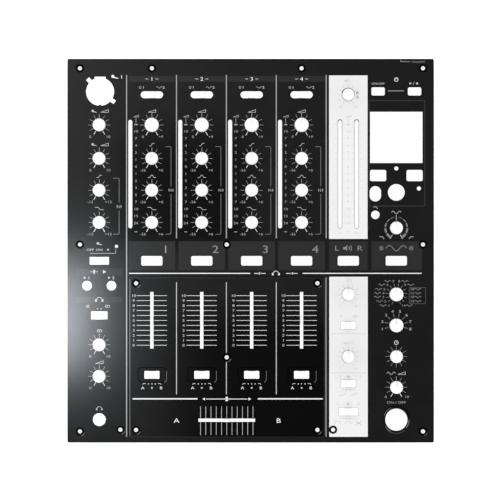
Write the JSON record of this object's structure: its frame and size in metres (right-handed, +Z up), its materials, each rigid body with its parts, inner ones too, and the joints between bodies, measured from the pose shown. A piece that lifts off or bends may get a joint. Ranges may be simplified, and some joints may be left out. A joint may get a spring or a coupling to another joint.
{
  "type": "dj mixer",
  "caption": "Tabletop mixing console: black top plate with rotary knobs, push keys, meters, sliding faders and a crossfader, on a shallow steel case with rear sockets.",
  "frame": {"origin": "on the table, under the middle of the top plate", "axes": "+X to the right and +Y to the rear sockets as the user sees it, +Z up"},
  "size_m": [0.32, 0.335, 0.108],
  "materials": {
    "black_paint": "satin",
    "steel": "bright",
    "foot_rubber": "matte",
    "circuit_board": "satin",
    "supply_metal": "satin",
    "pot_case": "matte",
    "white_plastic": "matte",
    "white_lens": "gloss",
    "socket_black": "satin"
  },
  "bodies": {
    "chassis": {"control_panel": "black_paint", "fader_panel": "black_paint", "chassis_tray": "black_paint", "rear_connectors": "socket_black", "rear_panel": "black_paint", "support_posts": "steel", "panel_screws": "steel", "rubber_feet": "foot_rubber", "control_board": "circuit_board", "rotary_pots": "pot_case", "key_switches": "white_plastic", "slide_switches": "white_plastic", "fader_rails": "white_plastic", "display_window": "white_lens", "meter_lenses": "white_lens", "mic_jack": "white_plastic", "phones_jack": "white_plastic", "power_supply": "supply_metal"},
    "mic_level_knob_1": {"mic_level_knob_1": "white_plastic"},
    "mic_level_knob_2": {"mic_level_knob_2": "white_plastic"},
    "mic_high_knob": {"mic_high_knob": "white_plastic"},
    "mic_low_knob": {"mic_low_knob": "white_plastic"},
    "headphone_mix_knob": {"headphone_mix_knob": "white_plastic"},
    "headphone_level_knob": {"headphone_level_knob": "white_plastic"},
    "master_level_knob": {"master_level_knob": "white_plastic"},
    "balance_knob": {"balance_knob": "white_plastic"},
    "booth_level_knob": {"booth_level_knob": "white_plastic"},
    "filter_frequency_knob": {"filter_frequency_knob": "white_plastic"},
    "effect_select_knob": {"effect_select_knob": "white_plastic"},
    "effect_channel_knob": {"effect_channel_knob": "white_plastic"},
    "effect_time_knob": {"effect_time_knob": "white_plastic"},
    "effect_depth_knob": {"effect_depth_knob": "white_plastic"},
    "trim_knob_1": {"trim_knob_1": "white_plastic"},
    "high_knob_1": {"high_knob_1": "white_plastic"},
    "mid_knob_1": {"mid_knob_1": "white_plastic"},
    "low_knob_1": {"low_knob_1": "white_plastic"},
    "trim_knob_2": {"trim_knob_2": "white_plastic"},
    "high_knob_2": {"high_knob_2": "white_plastic"},
    "mid_knob_2": {"mid_knob_2": "white_plastic"},
    "low_knob_2": {"low_knob_2": "white_plastic"},
    "trim_knob_3": {"trim_knob_3": "white_plastic"},
    "high_knob_3": {"high_knob_3": "white_plastic"},
    "mid_knob_3": {"mid_knob_3": "white_plastic"},
    "low_knob_3": {"low_knob_3": "white_plastic"},
    "trim_knob_4": {"trim_knob_4": "white_plastic"},
    "high_knob_4": {"high_knob_4": "white_plastic"},
    "mid_knob_4": {"mid_knob_4": "white_plastic"},
    "low_knob_4": {"low_knob_4": "white_plastic"},
    "cue_button_1": {"cue_button_1": "white_plastic"},
    "cue_button_2": {"cue_button_2": "white_plastic"},
    "cue_button_3": {"cue_button_3": "white_plastic"},
    "cue_button_4": {"cue_button_4": "white_plastic"},
    "cue_button_master": {"cue_button_master": "white_plastic"},
    "cue_button_effects": {"cue_button_effects": "white_plastic"},
    "effect_on_button": {"effect_on_button": "white_plastic"},
    "channel_fader_1": {"channel_fader_1": "white_plastic"},
    "channel_fader_2": {"channel_fader_2": "white_plastic"},
    "channel_fader_3": {"channel_fader_3": "white_plastic"},
    "channel_fader_4": {"channel_fader_4": "white_plastic"},
    "crossfader": {"crossfader": "white_plastic"}
  },
  "joints": [
    {"name": "mic_level_knob_1_turn", "type": "hinge", "parent": "chassis", "child": "mic_level_knob_1", "pos_m": [-0.1321, 0.1097, 0.108], "axis": [0, 0, 1], "range_deg": [-150, 150]},
    {"name": "mic_level_knob_2_turn", "type": "hinge", "parent": "chassis", "child": "mic_level_knob_2", "pos_m": [-0.1321, 0.0805, 0.108], "axis": [0, 0, 1], "range_deg": [-150, 150]},
    {"name": "mic_high_knob_turn", "type": "hinge", "parent": "chassis", "child": "mic_high_knob", "pos_m": [-0.1321, 0.0528, 0.108], "axis": [0, 0, 1], "range_deg": [-150, 150]},
    {"name": "mic_low_knob_turn", "type": "hinge", "parent": "chassis", "child": "mic_low_knob", "pos_m": [-0.1321, 0.0247, 0.108], "axis": [0, 0, 1], "range_deg": [-150, 150]},
    {"name": "headphone_mix_knob_turn", "type": "hinge", "parent": "chassis", "child": "headphone_mix_knob", "pos_m": [-0.1321, -0.082, 0.108], "axis": [0, 0, 1], "range_deg": [-150, 150]},
    {"name": "headphone_level_knob_turn", "type": "hinge", "parent": "chassis", "child": "headphone_level_knob", "pos_m": [-0.1321, -0.1095, 0.108], "axis": [0, 0, 1], "range_deg": [-150, 150]},
    {"name": "master_level_knob_turn", "type": "hinge", "parent": "chassis", "child": "master_level_knob", "pos_m": [0.0852, 0.1361, 0.108], "axis": [0, 0, 1], "range_deg": [-150, 150]},
    {"name": "balance_knob_turn", "type": "hinge", "parent": "chassis", "child": "balance_knob", "pos_m": [0.0852, -0.0381, 0.108], "axis": [0, 0, 1], "range_deg": [-150, 150]},
    {"name": "booth_level_knob_turn", "type": "hinge", "parent": "chassis", "child": "booth_level_knob", "pos_m": [0.0852, -0.0923, 0.108], "axis": [0, 0, 1], "range_deg": [-150, 150]},
    {"name": "filter_frequency_knob_turn", "type": "hinge", "parent": "chassis", "child": "filter_frequency_knob", "pos_m": [0.1271, 0.0199, 0.108], "axis": [0, 0, 1], "range_deg": [-150, 150]},
    {"name": "effect_select_knob_turn", "type": "hinge", "parent": "chassis", "child": "effect_select_knob", "pos_m": [0.1271, -0.0381, 0.108], "axis": [0, 0, 1], "range_deg": [-156, 156]},
    {"name": "effect_channel_knob_turn", "type": "hinge", "parent": "chassis", "child": "effect_channel_knob", "pos_m": [0.1271, -0.0651, 0.108], "axis": [0, 0, 1], "range_deg": [-105, 105]},
    {"name": "effect_time_knob_turn", "type": "hinge", "parent": "chassis", "child": "effect_time_knob", "pos_m": [0.1271, -0.0923, 0.108], "axis": [0, 0, 1], "continuous": true},
    {"name": "effect_depth_knob_turn", "type": "hinge", "parent": "chassis", "child": "effect_depth_knob", "pos_m": [0.1271, -0.1191, 0.108], "axis": [0, 0, 1], "range_deg": [-150, 150]},
    {"name": "trim_knob_1_turn", "type": "hinge", "parent": "chassis", "child": "trim_knob_1", "pos_m": [-0.0862, 0.1097, 0.108], "axis": [0, 0, 1], "range_deg": [-150, 150]},
    {"name": "high_knob_1_turn", "type": "hinge", "parent": "chassis", "child": "high_knob_1", "pos_m": [-0.0862, 0.0805, 0.108], "axis": [0, 0, 1], "range_deg": [-150, 150]},
    {"name": "mid_knob_1_turn", "type": "hinge", "parent": "chassis", "child": "mid_knob_1", "pos_m": [-0.0862, 0.0528, 0.108], "axis": [0, 0, 1], "range_deg": [-150, 150]},
    {"name": "low_knob_1_turn", "type": "hinge", "parent": "chassis", "child": "low_knob_1", "pos_m": [-0.0862, 0.0247, 0.108], "axis": [0, 0, 1], "range_deg": [-150, 150]},
    {"name": "trim_knob_2_turn", "type": "hinge", "parent": "chassis", "child": "trim_knob_2", "pos_m": [-0.04265, 0.1097, 0.108], "axis": [0, 0, 1], "range_deg": [-150, 150]},
    {"name": "high_knob_2_turn", "type": "hinge", "parent": "chassis", "child": "high_knob_2", "pos_m": [-0.04265, 0.0805, 0.108], "axis": [0, 0, 1], "range_deg": [-150, 150]},
    {"name": "mid_knob_2_turn", "type": "hinge", "parent": "chassis", "child": "mid_knob_2", "pos_m": [-0.04265, 0.0528, 0.108], "axis": [0, 0, 1], "range_deg": [-150, 150]},
    {"name": "low_knob_2_turn", "type": "hinge", "parent": "chassis", "child": "low_knob_2", "pos_m": [-0.04265, 0.0247, 0.108], "axis": [0, 0, 1], "range_deg": [-150, 150]},
    {"name": "trim_knob_3_turn", "type": "hinge", "parent": "chassis", "child": "trim_knob_3", "pos_m": [0.0009, 0.1097, 0.108], "axis": [0, 0, 1], "range_deg": [-150, 150]},
    {"name": "high_knob_3_turn", "type": "hinge", "parent": "chassis", "child": "high_knob_3", "pos_m": [0.0009, 0.0805, 0.108], "axis": [0, 0, 1], "range_deg": [-150, 150]},
    {"name": "mid_knob_3_turn", "type": "hinge", "parent": "chassis", "child": "mid_knob_3", "pos_m": [0.0009, 0.0528, 0.108], "axis": [0, 0, 1], "range_deg": [-150, 150]},
    {"name": "low_knob_3_turn", "type": "hinge", "parent": "chassis", "child": "low_knob_3", "pos_m": [0.0009, 0.0247, 0.108], "axis": [0, 0, 1], "range_deg": [-150, 150]},
    {"name": "trim_knob_4_turn", "type": "hinge", "parent": "chassis", "child": "trim_knob_4", "pos_m": [0.04445, 0.1097, 0.108], "axis": [0, 0, 1], "range_deg": [-150, 150]},
    {"name": "high_knob_4_turn", "type": "hinge", "parent": "chassis", "child": "high_knob_4", "pos_m": [0.04445, 0.0805, 0.108], "axis": [0, 0, 1], "range_deg": [-150, 150]},
    {"name": "mid_knob_4_turn", "type": "hinge", "parent": "chassis", "child": "mid_knob_4", "pos_m": [0.04445, 0.0528, 0.108], "axis": [0, 0, 1], "range_deg": [-150, 150]},
    {"name": "low_knob_4_turn", "type": "hinge", "parent": "chassis", "child": "low_knob_4", "pos_m": [0.04445, 0.0247, 0.108], "axis": [0, 0, 1], "range_deg": [-150, 150]},
    {"name": "cue_button_1_press", "type": "slide", "parent": "chassis", "child": "cue_button_1", "axis": [0, 0, -1], "range_m": [0, 0.0015], "stiffness_N_per_m": 800, "springref_m": -0.0005},
    {"name": "cue_button_2_press", "type": "slide", "parent": "chassis", "child": "cue_button_2", "axis": [0, 0, -1], "range_m": [0, 0.0015], "stiffness_N_per_m": 800, "springref_m": -0.0005},
    {"name": "cue_button_3_press", "type": "slide", "parent": "chassis", "child": "cue_button_3", "axis": [0, 0, -1], "range_m": [0, 0.0015], "stiffness_N_per_m": 800, "springref_m": -0.0005},
    {"name": "cue_button_4_press", "type": "slide", "parent": "chassis", "child": "cue_button_4", "axis": [0, 0, -1], "range_m": [0, 0.0015], "stiffness_N_per_m": 800, "springref_m": -0.0005},
    {"name": "cue_button_master_press", "type": "slide", "parent": "chassis", "child": "cue_button_master", "axis": [0, 0, -1], "range_m": [0, 0.0015], "stiffness_N_per_m": 800, "springref_m": -0.0005},
    {"name": "cue_button_effects_press", "type": "slide", "parent": "chassis", "child": "cue_button_effects", "axis": [0, 0, -1], "range_m": [0, 0.0015], "stiffness_N_per_m": 800, "springref_m": -0.0005},
    {"name": "effect_on_button_press", "type": "slide", "parent": "chassis", "child": "effect_on_button", "axis": [0, 0, -1], "range_m": [0, 0.0015], "stiffness_N_per_m": 800, "springref_m": -0.0005},
    {"name": "channel_fader_1_slide", "type": "slide", "parent": "chassis", "child": "channel_fader_1", "axis": [0, 1, 0], "range_m": [-0.0216, 0.0216]},
    {"name": "channel_fader_2_slide", "type": "slide", "parent": "chassis", "child": "channel_fader_2", "axis": [0, 1, 0], "range_m": [-0.0216, 0.0216]},
    {"name": "channel_fader_3_slide", "type": "slide", "parent": "chassis", "child": "channel_fader_3", "axis": [0, 1, 0], "range_m": [-0.0216, 0.0216]},
    {"name": "channel_fader_4_slide", "type": "slide", "parent": "chassis", "child": "channel_fader_4", "axis": [0, 1, 0], "range_m": [-0.0216, 0.0216]},
    {"name": "crossfader_slide", "type": "slide", "parent": "chassis", "child": "crossfader", "axis": [1, 0, 0], "range_m": [-0.0216, 0.0216]}
  ]
}
